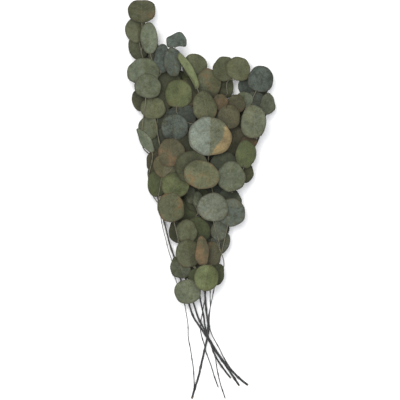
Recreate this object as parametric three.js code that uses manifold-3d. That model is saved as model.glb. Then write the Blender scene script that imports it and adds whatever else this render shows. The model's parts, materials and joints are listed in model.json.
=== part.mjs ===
// A bunch of dried round-leaved eucalyptus, lying on its side on a flat surface.
// Millimetres. +Z is up, +Y runs from the cut stem ends to the leafy tips, +X is to the right
// when the bunch is looked down on. Eight woody stems cross where a hand would hold them.
// Leafy side shoots, one to four leaves each, leave the stems above that crossing.
import * as THREE from "three";
import { mergeVertices } from "three/addons/utils/BufferGeometryUtils.js";
import Module from "manifold-3d";

// Driving dimensions
const LEAF_SCALE = 1; // size of every leaf, against the sizes written in the plan below
const LEAF_THICKNESS = 0.7; // a dried leaf with its midrib
const RIM_STEPS = 6; // straight edges on each side of a leaf, from its base to its tip
const HIDDEN_RIM_STEPS = 5; // the same, on the leaves under the stems and just over them
const STALK_RADIUS = 0.8; // leaf stalks and the shoots that carry them
const STALK_SIDES = 3; // flat sides round a stalk
const STEM_SCALE = 1; // radius of every main stem, against the radii written below
const STEM_SIDES = 6; // flat sides round a stem
const STEM_STEP = 20; // length of one straight run along a stem
const LAYER_GAP = 1; // air left between one leaf and the leaf laid over it
const JOINT_GAP = 0.3; // air left where one piece meets another
const SPREAD = 1; // width of the head, against the plan below

const wasm = await Module();
wasm.setup();

const radians = THREE.MathUtils.degToRad;

// ---------------------------------------------------------------- solids

function solidOf(geometry) {
  const bare = geometry.index ? geometry.toNonIndexed() : geometry.clone();
  bare.deleteAttribute("normal");
  bare.deleteAttribute("uv");
  const merged = mergeVertices(bare, 1e-4);
  return new wasm.Manifold(
    new wasm.Mesh({
      numProp: 3,
      vertProperties: new Float32Array(merged.attributes.position.array),
      triVerts: new Uint32Array(merged.index.array),
    }),
  );
}

function geometryOf(solid) {
  const mesh = solid.getMesh();
  const geometry = new THREE.BufferGeometry();
  geometry.setAttribute("position", new THREE.BufferAttribute(mesh.vertProperties, 3));
  geometry.setIndex(new THREE.BufferAttribute(mesh.triVerts, 1));
  const flat = geometry.toNonIndexed();
  flat.computeVertexNormals();
  return flat;
}

function largestBody(solid) {
  const bodies = solid.decompose();
  bodies.sort((a, b) => b.volume() - a.volume());
  return bodies[0];
}

function tube(curve, radius, sides, steps) {
  const section = new THREE.Shape();
  for (let k = 0; k < sides; k += 1) {
    const angle = (2 * Math.PI * k) / sides;
    const x = radius * Math.cos(angle);
    const y = radius * Math.sin(angle);
    if (k === 0) section.moveTo(x, y);
    else section.lineTo(x, y);
  }
  section.closePath();
  return solidOf(new THREE.ExtrudeGeometry(section, { steps, extrudePath: curve }));
}

// ---------------------------------------------------------------- stems

// Each stem: its radius, then its path from the cut end to the tip.
const STEMS = [
  { radius: 1.6, path: [
    [54, -257, 1.7], [30, -223, 6], [7, -186, 12], [-12, -157, 14], [-21, -128, 16], [-33, -90, 18],
    [-50, -34, 20], [-62, 28, 21], [-67, 96, 22], [-74, 158, 23], [-78, 226, 26]] },
  { radius: 1.7, path: [
    [66, -256, 7], [36, -229, 10.5], [6, -180, 16.5], [-8, -150, 18], [-22, -100, 20], [-36, -21, 22],
    [-45, 48, 23], [-48, 117, 24], [-48, 176, 26]] },
  { radius: 1.4, path: [
    [41, -246, 14.5], [27, -226, 16.5], [8, -181, 25.5], [2, -150, 25], [-4, -108, 24], [-13, -48, 24],
    [-22, 14, 24], [-27, 83, 25], [-29, 144, 26], [-33, 190, 28]] },
  { radius: 1.6, path: [
    [-13, -275, 1.7], [-7, -257, 3], [5, -212, 6], [10, -179, 8.5], [7, -140, 13], [4, -76, 18],
    [-3, -7, 21], [-8, 62, 22], [-11, 131, 23], [-15, 176, 25]] },
  { radius: 1.5, path: [
    [52, -244, 10], [39, -229, 12.5], [20, -194, 19], [13, -175, 21], [13, -138, 21], [15, -83, 22],
    [11, -21, 23], [10, 48, 24], [11, 117, 25], [12, 152, 26]] },
  { radius: 1.1, path: [
    [34, -274, 13], [25, -243, 19], [17, -206, 28], [10, -184, 31], [14, -144, 31], [26, -83, 30],
    [37, -21, 29], [45, 48, 28], [50, 110, 28], [43, 160, 29]] },
  { radius: 1.1, path: [
    [25, -259, 8], [13, -226, 20], [1, -180, 29], [5, -138, 27], [21, -69, 25], [41, 0, 23],
    [59, 62, 23], [71, 108, 24], [80, 154, 26]] },
  { radius: 1.0, path: [
    [-10, -273, 7.5], [-9, -250, 9.5], [-14, -206, 14], [-18, -172, 18], [-23, -140, 23],
    [-34, -109, 24], [-41, -82, 24], [-50, -45, 26], [-58, -4, 28], [-64, 60, 29], [-66, 113, 30]] },
];

const stems = STEMS.map(({ radius, path }) => {
  const points = path.map(([x, y, z]) => new THREE.Vector3(x, y, z));
  const curve = new THREE.CatmullRomCurve3(points, false, "centripetal");
  return { curve, radius: radius * STEM_SCALE, steps: Math.round(curve.getLength() / STEM_STEP) };
});

// ---------------------------------------------------------------- the plan of the leaves

// Each shoot: the stem that carries it, its leaf colour, and its leaves. A leaf is
// [layer, x, y, length, width, heading, lean, toward, fold]. A higher layer lies over a lower one,
// heading is where its tip points, the blade leans that many degrees with its face turned toward
// the next angle, and its two halves rise from the midrib by the fold. Angles are from +X.
const SHOOTS = [
  { stem: 1, colour: "olive", leaves: [
    [5, -81, 259, 39, 39, 90, 33, 90, 8], [4, -87, 234, 36, 32, 100, 19, 180, 10],
    [3, -85, 211, 36, 30, 95, 26, 200, 6]] },
  { stem: 1, colour: "grey_green", leaves: [
    [5, -70, 222, 43, 24, 92, 6, 0, 7], [3, -63, 199, 36, 28, 80, 47, 20, 6]] },
  { stem: 1, colour: "grey_green", leaves: [
    [4, -78, 176, 38, 44, 95, 6, 240, 5], [5, -72, 156, 34, 36, 80, 6, 300, 7]] },
  { stem: 2, colour: "blue_grey", leaves: [
    [4, -38, 189, 40, 26, 95, 18, 0, 6], [3, -53, 194, 40, 22, 85, 22, 180, 6],
    [5, -33, 219, 28, 28, 85, 48, 270, 5]] },
  { stem: 3, colour: "green", leaves: [
    [5, -30, 146, 39, 38, 80, 6, 60, 7], [5, -17, 176, 54, 30, 117, 64, 27, 5]] },
  { stem: 4, colour: "olive", leaves: [
    [4, 10, 160, 41, 36, 75, 6, 330, 5], [3, -8, 184, 35, 34, 100, 6, 90, 5],
    [5, 7, 128, 43, 36, 100, 26, 190, 9]] },
  { stem: 6, colour: "olive", leaves: [
    [4, 33, 180, 34, 34, 100, 6, 100, 5], [5, 52, 180, 33, 34, 70, 6, 0, 7],
    [3, 34, 158, 36, 26, 95, 26, 180, 6]] },
  { stem: 7, colour: "blue_grey", leaves: [
    [5, 82, 166, 37, 35, 70, 6, 30, 7], [3, 65, 156, 29, 28, 100, 6, 200, 5],
    [3, 76, 137, 26, 26, 60, 21, 60, 6]] },
  { stem: 7, colour: "grey_green", leaves: [
    [4, 90, 132, 30, 27, 78, 42, 345, 6], [3, 60, 137, 24, 24, 80, 19, 90, 6]] },
  { stem: 7, colour: "grey_green", leaves: [
    [6, 73, 107, 46, 35, 92, 14, 200, 22]] },
  { stem: 6, colour: "tan", leaves: [
    [5, 39, 114, 33, 31, 85, 6, 200, 7], [3, 48, 131, 26, 26, 80, 19, 80, 6],
    [4, 28, 133, 24, 21, 110, 19, 180, 8]] },
  { stem: 5, colour: "pale", leaves: [
    [6, 12, 87, 53, 59, 88, 6, 270, 7], [3, 20, 118, 36, 34, 80, 6, 20, 5]] },
  { stem: 6, colour: "tan", leaves: [
    [3, 46, 82, 40, 34, 80, 22, 350, 6], [4, 66, 78, 24, 22, 30, 30, 90, 6]] },
  { stem: 3, colour: "blue_grey", leaves: [
    [5, -36, 100, 36, 38, 95, 6, 250, 7], [4, -26, 114, 38, 40, 100, 6, 90, 5]] },
  { stem: 2, colour: "olive", leaves: [
    [4, -65, 126, 30, 35, 100, 6, 90, 5], [3, -55, 134, 32, 30, 80, 6, 0, 5]] },
  { stem: 1, colour: "grey_green", leaves: [
    [3, -71, 99, 34, 30, 100, 24, 180, 6], [4, -77, 81, 38, 26, 123, 56, 33, 5]] },
  { stem: 2, colour: "tan", leaves: [
    [5, -40, 65, 39, 37, 95, 6, 200, 7], [4, -48, 47, 32, 34, 75, 6, 270, 5],
    [3, -62, 52, 32, 28, 110, 31, 180, 6]] },
  { stem: 4, colour: "olive", leaves: [
    [5, -11, 45, 46, 46, 100, 6, 120, 7], [6, 1, 35, 39, 49, 80, 6, 260, 7]] },
  { stem: 6, colour: "grey_green", leaves: [
    [5, 41, 32, 42, 38, 95, 6, 300, 7], [4, 33, 47, 38, 40, 80, 6, 90, 5]] },
  { stem: 7, colour: "green", leaves: [
    [4, 61, 63, 38, 32, 85, 27, 0, 7], [3, 58, 38, 30, 30, 60, 24, 330, 6]] },
  { stem: 2, colour: "green", leaves: [
    [4, -34, 20, 38, 38, 60, 20, 90, 6], [3, -42, 10, 30, 28, 120, 6, 120, 5],
    [3, -60, 22, 36, 28, 100, 31, 180, 6]] },
  { stem: 2, colour: "olive", leaves: [
    [5, -40, -10, 40, 37, 100, 6, 180, 7], [4, -33, -44, 30, 26, 100, 36, 180, 5]] },
  { stem: 4, colour: "grey_green", leaves: [
    [3, -12, 7, 25, 19, 95, 48, 185, 5], [3, -3, 0, 25, 19, 100, 48, 10, 5]] },
  { stem: 5, colour: "pale", leaves: [
    [6, 17, -10, 40, 42, 92, 6, 90, 7], [5, 25, -40, 32, 27, 80, 34, 350, 6]] },
  { stem: 6, colour: "blue_grey", leaves: [
    [5, 42, -17, 40, 37, 75, 6, 0, 7], [4, 27, -58, 32, 28, 70, 26, 340, 6]] },
  { stem: 3, colour: "olive", leaves: [
    [5, -17, -73, 39, 35, 100, 6, 200, 7], [4, -19, -43, 32, 30, 100, 6, 180, 5]] },
  { stem: 4, colour: "tan", leaves: [
    [5, 4, -69, 40, 26, 92, 44, 180, 6], [4, 15, -74, 36, 30, 85, 39, 0, 5]] },
  { stem: 8, colour: "grey_green", leaves: [
    [4, -27, -92, 32, 30, 110, 20, 180, 7], [5, -18, -125, 34, 37, 92, 6, 270, 7]] },
  { stem: 5, colour: "green", leaves: [
    [5, 8, -106, 36, 34, 80, 6, 30, 7], [4, -3, -108, 32, 28, 95, 19, 180, 5],
    [4, 22, -102, 30, 24, 75, 42, 350, 5]] },
  // shaded leaves just above the stems
  { stem: 1, colour: "olive", leaves: [
    [2, -66, 186, 36, 36, 110, 4, 40, 4], [2, -46, 162, 38, 38, 75, 4, 0, 4],
    [2, -80, 138, 32, 30, 130, 4, 200, 4]] },
  { stem: 2, colour: "grey_green", leaves: [
    [2, -56, 110, 38, 38, 100, 4, 100, 4], [2, -52, 80, 40, 38, 110, 4, 160, 4],
    [2, -56, 34, 36, 34, 100, 4, 170, 4]] },
  { stem: 3, colour: "olive", leaves: [
    [2, -16, 148, 38, 38, 80, 4, 80, 4], [2, -16, 104, 40, 38, 100, 4, 200, 4],
    [2, -24, 70, 40, 38, 90, 4, 270, 4], [2, -28, 34, 36, 36, 90, 4, 270, 4]] },
  { stem: 5, colour: "blue_grey", leaves: [
    [2, 12, 120, 38, 36, 80, 4, 20, 4], [2, 22, 66, 40, 40, 70, 4, 320, 4],
    [2, 14, 10, 38, 38, 85, 4, 80, 4], [2, 28, 92, 36, 36, 70, 4, 40, 4]] },
  { stem: 7, colour: "olive", leaves: [
    [2, 76, 126, 34, 34, 60, 4, 20, 4], [2, 60, 96, 36, 34, 50, 4, 340, 4],
    [2, 52, 62, 36, 34, 60, 4, 20, 4]] },
  { stem: 6, colour: "grey_green", leaves: [
    [2, 38, -2, 38, 36, 70, 4, 20, 4], [2, 22, -36, 36, 36, 80, 4, 330, 4],
    [2, 14, -70, 34, 32, 85, 4, 330, 4]] },
  { stem: 3, colour: "green", leaves: [
    [2, -24, -18, 38, 36, 105, 4, 160, 4], [2, -4, -42, 38, 36, 95, 4, 200, 4],
    [2, -12, -92, 34, 32, 95, 4, 200, 4], [2, -4, 2, 38, 36, 90, 4, 200, 4]] },
  // leaves hanging under the stems
  { stem: 1, colour: "grey_green", leaves: [
    [1, -76, 212, 38, 34, 100, 6, 60, 6], [1, -70, 168, 38, 36, 75, 5, 250, 6]] },
  { stem: 2, colour: "olive", leaves: [
    [1, -44, 188, 36, 36, 80, 6, 60, 7], [1, -46, 140, 38, 36, 105, 5, 200, 6]] },
  { stem: 3, colour: "green", leaves: [
    [1, -20, 112, 40, 38, 95, 6, 20, 6], [1, -8, 168, 36, 36, 80, 5, 80, 6]] },
  { stem: 6, colour: "olive", leaves: [
    [1, 24, 100, 38, 38, 80, 5, 300, 6], [1, 38, 62, 38, 36, 60, 6, 0, 7]] },
  { stem: 7, colour: "grey_green", leaves: [
    [1, 74, 140, 36, 34, 65, 6, 30, 6], [1, 64, 88, 38, 36, 55, 5, 10, 6]] },
  { stem: 2, colour: "blue_grey", leaves: [
    [1, -54, 92, 38, 36, 115, 6, 180, 6], [1, -44, 46, 38, 36, 95, 5, 220, 7]] },
  { stem: 4, colour: "olive", leaves: [
    [1, 2, 62, 40, 38, 85, 5, 60, 6], [1, -10, 22, 38, 36, 100, 6, 160, 6]] },
  { stem: 5, colour: "grey_green", leaves: [
    [1, 24, 14, 38, 36, 75, 6, 350, 6], [1, 12, -34, 36, 36, 85, 5, 20, 6]] },
  // leaves lying on the surface that the bunch rests on
  { stem: 1, colour: "olive", leaves: [
    [0, -62, 188, 36, 34, 95, 0, 0, 0], [0, -62, 146, 36, 34, 85, 0, 0, 0]] },
  { stem: 3, colour: "grey_green", leaves: [
    [0, -30, 160, 38, 36, 80, 0, 0, 0], [0, -30, 92, 36, 36, 100, 4, 90, 5]] },
  { stem: 5, colour: "olive", leaves: [
    [0, 10, 140, 38, 36, 85, 4, 90, 5], [0, 8, 96, 36, 36, 70, 0, 0, 0]] },
  { stem: 7, colour: "grey_green", leaves: [
    [0, 78, 158, 34, 34, 70, 0, 0, 0], [0, 68, 112, 36, 34, 50, 0, 0, 0]] },
  { stem: 2, colour: "green", leaves: [
    [0, -52, 56, 36, 34, 115, 0, 0, 0], [0, -34, 12, 36, 34, 100, 4, 180, 5]] },
  { stem: 6, colour: "blue_grey", leaves: [
    [0, 46, 60, 36, 34, 60, 4, 30, 5], [0, 30, 24, 36, 34, 75, 0, 0, 0]] },
  { stem: 3, colour: "olive", leaves: [
    [0, -26, -40, 36, 32, 100, 0, 0, 0], [0, -12, -82, 34, 30, 95, 4, 90, 5]] },
  { stem: 4, colour: "grey_green", leaves: [
    [0, 4, -2, 34, 34, 85, 4, 90, 5], [0, 14, -48, 34, 32, 75, 0, 0, 0]] },
];

function readLeaf([layer, x, y, length, width, heading, lean, toward, fold], shoot) {
  const turn = radians(heading);
  const side = radians(toward);
  const axis = new THREE.Vector3(-Math.sin(side), Math.cos(side), 0);
  const along = new THREE.Vector3(Math.cos(turn), Math.sin(turn), 0);
  const across = new THREE.Vector3(-Math.sin(turn), Math.cos(turn), 0);
  const face = new THREE.Vector3(0, 0, 1);
  for (const direction of [along, across, face]) direction.applyAxisAngle(axis, radians(lean));
  return {
    layer,
    shoot,
    centre: new THREE.Vector3(x * SPREAD, y, 0),
    length: length * LEAF_SCALE,
    width: width * LEAF_SCALE,
    slope: Math.tan(radians(fold)),
    along,
    across,
    face,
  };
}

const leaves = [];
SHOOTS.forEach((shoot, index) => {
  for (const row of shoot.leaves) leaves.push(readLeaf(row, index));
});

// ---------------------------------------------------------------- laying the leaves in a pile

// Half of a round leaf's outline, from its base to its tip: [distance along, distance across].
function halfOutline(length, width, steps) {
  const rim = [];
  for (let k = 0; k <= steps; k += 1) {
    const angle = (Math.PI * k) / steps;
    const along = -Math.cos(angle) * (length / 2);
    const across = Math.pow(Math.sin(angle), 0.9) * (width / 2);
    rim.push([along, Math.max(across, 0)]);
  }
  return rim;
}

function leafPoint(leaf, along, across, above) {
  return leaf.centre
    .clone()
    .addScaledVector(leaf.along, along)
    .addScaledVector(leaf.across, across)
    .addScaledVector(leaf.face, Math.abs(across) * leaf.slope + above);
}

const CELL = 1.5;
const CELLS_X = 200;
const CELLS_Y = 400;
const heights = new Float32Array(CELLS_X * CELLS_Y).fill(-LAYER_GAP);

function cellOf(point) {
  const column = Math.round(point.x / CELL) + CELLS_X / 2;
  const row = Math.round(point.y / CELL) + CELLS_Y / 2;
  return row * CELLS_X + column;
}

function leafSamples(leaf) {
  const samples = [];
  for (let along = -leaf.length / 2; along <= leaf.length / 2; along += 1) {
    const reach = Math.sqrt(Math.max(0, 1 - (2 * along / leaf.length) ** 2)) * (leaf.width / 2);
    for (let across = -reach; across <= reach; across += 1) {
      samples.push(leafPoint(leaf, along, across, 0));
    }
    samples.push(leafPoint(leaf, along, reach, 0));
  }
  return samples;
}

// Lowers a leaf onto whatever is already there, then adds it to the heights.
function layLeaf(leaf) {
  const half = LEAF_THICKNESS / 2;
  const thick = half * Math.abs(leaf.face.z);
  const samples = leafSamples(leaf);
  let lift = -Infinity;
  for (const point of samples) {
    lift = Math.max(lift, heights[cellOf(point)] + LAYER_GAP + thick - point.z);
  }
  leaf.centre.z += lift;
  for (const point of samples) {
    const cell = cellOf(point);
    for (const step of [0, 1, -1, CELLS_X, -CELLS_X]) {
      heights[cell + step] = Math.max(heights[cell + step], point.z + lift + thick);
    }
  }
}

function layStem({ curve, radius }) {
  const count = 400;
  for (let k = 0; k <= count; k += 1) {
    const point = curve.getPoint(k / count);
    const cell = cellOf(point);
    for (const step of [0, 1, -1, CELLS_X, -CELLS_X]) {
      heights[cell + step] = Math.max(heights[cell + step], point.z + radius);
    }
  }
}

const LAYERS_UNDER = [0, 1];
const LAYERS_OVER = [2, 3, 4, 5, 6];
for (const layer of LAYERS_UNDER) {
  leaves.filter((leaf) => leaf.layer === layer).forEach(layLeaf);
}
stems.forEach(layStem);
for (const layer of LAYERS_OVER) {
  leaves.filter((leaf) => leaf.layer === layer).forEach(layLeaf);
}

// ---------------------------------------------------------------- finding a way for each stalk

const STALK_SAMPLE = 1.3; // distance between the points at which a stalk's way is tested
const STALK_STEP = 10; // length of one straight run along a stalk
const stemPoints = stems.map(({ curve, radius }) => ({ points: curve.getSpacedPoints(280), radius }));
const stalkPoints = [];

// How much of a stalk's way runs through, or too near, a piece that is already there.
function crowding(points, ownLeaf, stem, shoot, allowed) {
  const reach = STALK_RADIUS + JOINT_GAP + 0.1;
  const insideOwn = 6 / STALK_SAMPLE;
  let count = 0;
  const offset = new THREE.Vector3();
  for (let place = 0; place < points.length && count < allowed; place += 1) {
    const point = points[place];
    for (const leaf of leaves) {
      offset.subVectors(point, leaf.centre);
      if (offset.lengthSq() > 1000) continue;
      if (leaf === ownLeaf && place < insideOwn) continue;
      const across = offset.dot(leaf.across);
      const above = offset.dot(leaf.face) - Math.abs(across) * leaf.slope;
      if (Math.abs(above) > LEAF_THICKNESS / 2 + reach) continue;
      const along = offset.dot(leaf.along) / (leaf.length / 2 + reach);
      if (along ** 2 + (across / (leaf.width / 2 + reach)) ** 2 < 1) count += 1;
    }
    for (let k = 0; k < stemPoints.length; k += 1) {
      if (k === stem && place > points.length - 5) continue;
      const limit = stemPoints[k].radius + reach;
      for (const other of stemPoints[k].points) {
        if (Math.abs(other.y - point.y) > limit) continue;
        if (other.distanceToSquared(point) < limit ** 2) count += 1;
      }
    }
    for (const stalk of stalkPoints) {
      if (stalk.shoot === shoot) continue;
      if (Math.abs(stalk.point.y - point.y) > 2) continue;
      if (stalk.point.distanceToSquared(point) < (reach + STALK_RADIUS) ** 2) count += 1;
    }
    if (point.z < STALK_RADIUS + 0.05) count += 1;
  }
  return count;
}

function stalkSteps(length) {
  return Math.max(4, Math.round(length / STALK_STEP));
}

// Points at even distances along the straight runs that the stalk is built from.
function alongRuns(corners) {
  const points = [];
  for (let k = 0; k + 1 < corners.length; k += 1) {
    const run = corners[k].distanceTo(corners[k + 1]);
    const count = Math.max(1, Math.round(run / STALK_SAMPLE));
    for (let part = 0; part < count; part += 1) {
      points.push(corners[k].clone().lerp(corners[k + 1], part / count));
    }
  }
  points.push(corners[corners.length - 1]);
  return points;
}

// The sharpest turn between a run of the stalk and the way's own direction at its ends.
function straightness(way, corners) {
  const steps = corners.length - 1;
  const run = new THREE.Vector3();
  let least = 1;
  for (let k = 0; k < steps; k += 1) {
    run.subVectors(corners[k + 1], corners[k]).normalize();
    least = Math.min(least, run.dot(way.getTangentAt(k / steps)));
    least = Math.min(least, run.dot(way.getTangentAt((k + 1) / steps)));
  }
  return least;
}

// How much of a stalk's way lies in the open, above every leaf.
function openness(points) {
  return points.filter((point) => point.z > heights[cellOf(point)]).length;
}

function stalkChoices(leaf, feet) {
  const inside = leafPoint(leaf, -leaf.length / 2 + 4, 0, STALK_RADIUS - LEAF_THICKNESS / 2);
  const choices = [];
  for (const { foot, direction } of feet) {
    const reach = foot.distanceTo(inside);
    for (const dip of [0, 0.6]) {
      const out = leaf.along.clone().negate().addScaledVector(leaf.face, -dip).normalize();
      for (const turn of [0, 60, -60, 120, -120, 180]) {
        const arrive = new THREE.Vector3(0, 0, 1).applyAxisAngle(direction, radians(turn));
        arrive.addScaledVector(direction, 1.5).normalize();
        for (const [bend, rise] of [[0.2, 0.2], [0.5, 0.2], [0.9, 0.2], [0.2, 0.6], [0.5, 0.6]]) {
          choices.push(
            new THREE.CubicBezierCurve3(
              inside,
              inside.clone().addScaledVector(out, 6 + bend * reach),
              foot.clone().addScaledVector(arrive, 4 + rise * reach),
              foot,
            ),
          );
        }
      }
    }
  }
  return choices;
}

// The best of many smooth ways from a leaf's base down to one of the feet offered.
function findStalk(leaf, feet, stem, shoot) {
  let best = null;
  for (const way of stalkChoices(leaf, feet)) {
    const length = way.getLength();
    if (best && best.cost < length) continue;
    const corners = way.getSpacedPoints(stalkSteps(length));
    const bent = straightness(way, corners) < 0.7 ? 40 : 0;
    const points = alongRuns(corners);
    const plain = length + 2 * openness(points);
    const allowed = best ? Math.ceil((best.cost - plain) / 1000) : Infinity;
    const crowd = bent + crowding(points, leaf, stem, shoot, allowed);
    const cost = crowd * 1000 + plain;
    if (!best || cost < best.cost) best = { cost, crowd, length, way, points };
  }
  return best;
}

function baseOf(leaf) {
  return leafPoint(leaf, -leaf.length / 2, 0, 0);
}

function feetOnStem(stem, leaf) {
  const feet = [];
  const { curve } = stems[stem];
  const base = baseOf(leaf);
  const count = 48;
  for (let k = 1; k < count; k += 1) {
    const foot = curve.getPointAt(k / count);
    const distance = foot.distanceTo(base);
    if (foot.y < -150 || foot.y > base.y + 12 || distance > 100) continue;
    feet.push({ foot, direction: curve.getTangentAt(k / count) });
  }
  return feet;
}

function feetOnStalk(way) {
  const feet = [];
  for (const share of [0.3, 0.4, 0.5, 0.6, 0.7, 0.8, 0.9]) {
    const direction = way.getTangent(share).negate();
    feet.push({ foot: way.getPoint(share), direction });
  }
  return feet;
}

// The shoot's own stem comes first; the others are tried only where its way is blocked.
function findShoot(leaf, stem, index) {
  let best = findStalk(leaf, feetOnStem(stem, leaf), stem, index);
  for (let other = 0; other < stems.length; other += 1) {
    if (best && best.crowd === 0) return best;
    const found = findStalk(leaf, feetOnStem(other, leaf), other, index);
    if (found && (!best || found.cost < best.cost)) best = found;
  }
  return best;
}

SHOOTS.forEach((shoot, index) => {
  const own = leaves
    .filter((leaf) => leaf.shoot === index)
    .sort((a, b) => baseOf(a).y - baseOf(b).y);
  let feet = [];
  own.forEach((leaf, place) => {
    const first = place === 0;
    const found = first ? findShoot(leaf, shoot.stem - 1, index) : findStalk(leaf, feet, -1, index);
    leaf.stalk = found;
    for (const point of found.points) stalkPoints.push({ shoot: index, point });
    feet = feet.concat(feetOnStalk(found.way));
  });
});

// ---------------------------------------------------------------- building the solids

// A thin plate with a crease down the midrib, so its two halves rise like an open book.
function blade(leaf, extra) {
  const steps = leaf.layer < 3 ? HIDDEN_RIM_STEPS : RIM_STEPS;
  const rim = halfOutline(leaf.length + 2 * extra, leaf.width + 2 * extra, steps);
  const half = LEAF_THICKNESS / 2 + extra;
  const outline = rim.concat(rim.slice(1, -1).reverse().map(([along, across]) => [along, -across]));
  const count = outline.length;
  const positions = [];
  for (const above of [half, -half]) {
    for (const [along, across] of outline) positions.push(...leafPoint(leaf, along, across, above));
  }
  const index = [];
  for (let k = 0; k < count; k += 1) {
    const next = (k + 1) % count;
    if (k > 0 && k < steps) {
      index.push(0, next, k);
      index.push(count, count + k, count + next);
    }
    if (k >= steps && next !== 0) {
      index.push(0, next, k);
      index.push(count, count + k, count + next);
    }
    index.push(k, next, count + next);
    index.push(k, count + next, count + k);
  }
  const geometry = new THREE.BufferGeometry();
  geometry.setAttribute("position", new THREE.Float32BufferAttribute(positions, 3));
  geometry.setIndex(index);
  return solidOf(geometry);
}

function stalk(leaf, extra) {
  return tube(leaf.stalk.way, STALK_RADIUS + extra, STALK_SIDES, stalkSteps(leaf.stalk.length));
}

function boxesMeet(a, b) {
  const p = a.boundingBox();
  const q = b.boundingBox();
  return [0, 1, 2].every((k) => p.min[k] <= q.max[k] && q.min[k] <= p.max[k]);
}

function cutAway(solid, others) {
  let rest = solid;
  for (const other of others) if (boxesMeet(rest, other)) rest = rest.subtract(other);
  return rest;
}

const COLOURS = {
  stem: 0x4b4440,
  olive: 0x6d7054,
  grey_green: 0x737c66,
  blue_grey: 0x667068,
  green: 0x77805a,
  tan: 0x84694b,
  pale: 0x8b917a,
};

function meshOf(name, solid, colour) {
  const material = new THREE.MeshStandardMaterial({ color: COLOURS[colour], roughness: 0.75 });
  material.name = colour;
  const mesh = new THREE.Mesh(geometryOf(solid), material);
  mesh.name = name;
  return mesh;
}

const bunch = new THREE.Group();
bunch.name = "dried_eucalyptus_bunch";
const keepClear = [];

stems.forEach(({ curve, radius, steps }, index) => {
  const solid = largestBody(cutAway(tube(curve, radius, STEM_SIDES, steps), keepClear));
  keepClear.push(tube(curve, radius + JOINT_GAP, STEM_SIDES, steps));
  bunch.add(meshOf(`stem_${index + 1}`, solid, "stem"));
});

const wideBlades = leaves.map((leaf) => blade(leaf, JOINT_GAP));
SHOOTS.forEach((shoot, index) => {
  const others = wideBlades.filter((_, k) => leaves[k].shoot !== index);
  let whole = null;
  let reserved = null;
  leaves.forEach((leaf, k) => {
    if (leaf.shoot !== index) return;
    const twig = cutAway(stalk(leaf, 0), others);
    const piece = blade(leaf, 0).add(twig);
    whole = whole ? whole.add(piece) : piece;
    const room = wideBlades[k].add(stalk(leaf, JOINT_GAP));
    reserved = reserved ? reserved.add(room) : room;
  });
  const solid = largestBody(cutAway(whole, keepClear));
  keepClear.push(reserved);
  bunch.add(meshOf(`shoot_${String(index + 1).padStart(2, "0")}`, solid, shoot.colour));
});

// The origin is the middle of the bunch's underside.
const box = new THREE.Box3().setFromObject(bunch);
const middle = box.getCenter(new THREE.Vector3());
bunch.position.set(-middle.x, -middle.y, -box.min.z);
bunch.updateMatrixWorld(true);

export default bunch;
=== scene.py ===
# %% [markdown]
# # A bunch of dried round-leaved eucalyptus
# The real thing is a handful of woody stems that cross low down, with leafy side shoots
# above the crossing. It lies on its side, so the camera looks straight down on it.
# An exact model gives every leaf's place and size. This lesson reads those places from
# it and grows a finer leaf, stalk or stem in each one.

# %% Load the exact model
import json
import math
import random

import bpy
import numpy as np
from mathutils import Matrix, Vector


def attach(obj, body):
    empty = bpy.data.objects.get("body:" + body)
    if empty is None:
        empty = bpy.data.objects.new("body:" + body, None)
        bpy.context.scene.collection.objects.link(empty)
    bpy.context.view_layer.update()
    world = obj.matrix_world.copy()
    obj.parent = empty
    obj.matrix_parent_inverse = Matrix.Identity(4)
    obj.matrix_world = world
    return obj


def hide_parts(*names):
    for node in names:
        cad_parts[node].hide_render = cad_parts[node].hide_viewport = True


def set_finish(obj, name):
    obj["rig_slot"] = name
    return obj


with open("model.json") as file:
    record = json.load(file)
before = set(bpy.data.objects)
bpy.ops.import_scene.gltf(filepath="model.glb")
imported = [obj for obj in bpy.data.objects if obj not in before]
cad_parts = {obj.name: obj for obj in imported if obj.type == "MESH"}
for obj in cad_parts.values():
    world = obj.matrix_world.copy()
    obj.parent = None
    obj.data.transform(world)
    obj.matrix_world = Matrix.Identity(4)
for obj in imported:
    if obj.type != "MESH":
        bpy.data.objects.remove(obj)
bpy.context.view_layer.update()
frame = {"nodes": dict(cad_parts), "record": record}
slot_of = {part["node"]: part["material_slot"] for part in frame["record"]["subparts"]}
shoot_names = sorted(name for name in frame["nodes"] if name.startswith("shoot"))
stem_names = sorted(name for name in frame["nodes"] if name.startswith("stem"))
print(len(shoot_names), "shoots on", len(stem_names), "stems")

# %% [markdown]
# ## Camera, floor and light
# The bunch is laid on a pale surface and seen from straight above, with its tips up
# the picture. A long lens keeps the raised leaves from looking larger than the low ones.
# It takes in the length FRAMED at the height FRAMED_AT, a little above the floor.
# Two large round lamps hang high over it, the dimmer one off to the other side, and the
# room adds an even light. A small lamp would give hard shadows and hide the lower leaves.

# %% Camera looking straight down
LENS = 300.0
SENSOR = 36.0
FRAMED = 0.5515
FRAMED_AT = 0.02
eye_height = FRAMED_AT + FRAMED / 2 / (SENSOR / 2 / LENS)
camera_data = bpy.data.cameras.new("overhead_camera")
camera_data.lens = LENS
camera_data.sensor_width = SENSOR
camera = bpy.data.objects.new("overhead_camera", camera_data)
camera.location = (0.0, 0.0, eye_height)
bpy.context.scene.collection.objects.link(camera)
bpy.context.scene.camera = camera
print("camera height", round(eye_height, 3), "m")

# %% Soft lamps
def soft_lamp(name, place, size, power, tint=(1.0, 1.0, 1.0)):
    data = bpy.data.lights.new(name, "AREA")
    data.shape = "DISK"
    data.size = size
    data.energy = power
    data.color = tint
    lamp = bpy.data.objects.new(name, data)
    lamp.location = place
    lamp.rotation_euler = (-Vector(place)).to_track_quat("-Z", "Y").to_euler()
    bpy.context.scene.collection.objects.link(lamp)
    return lamp


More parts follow.
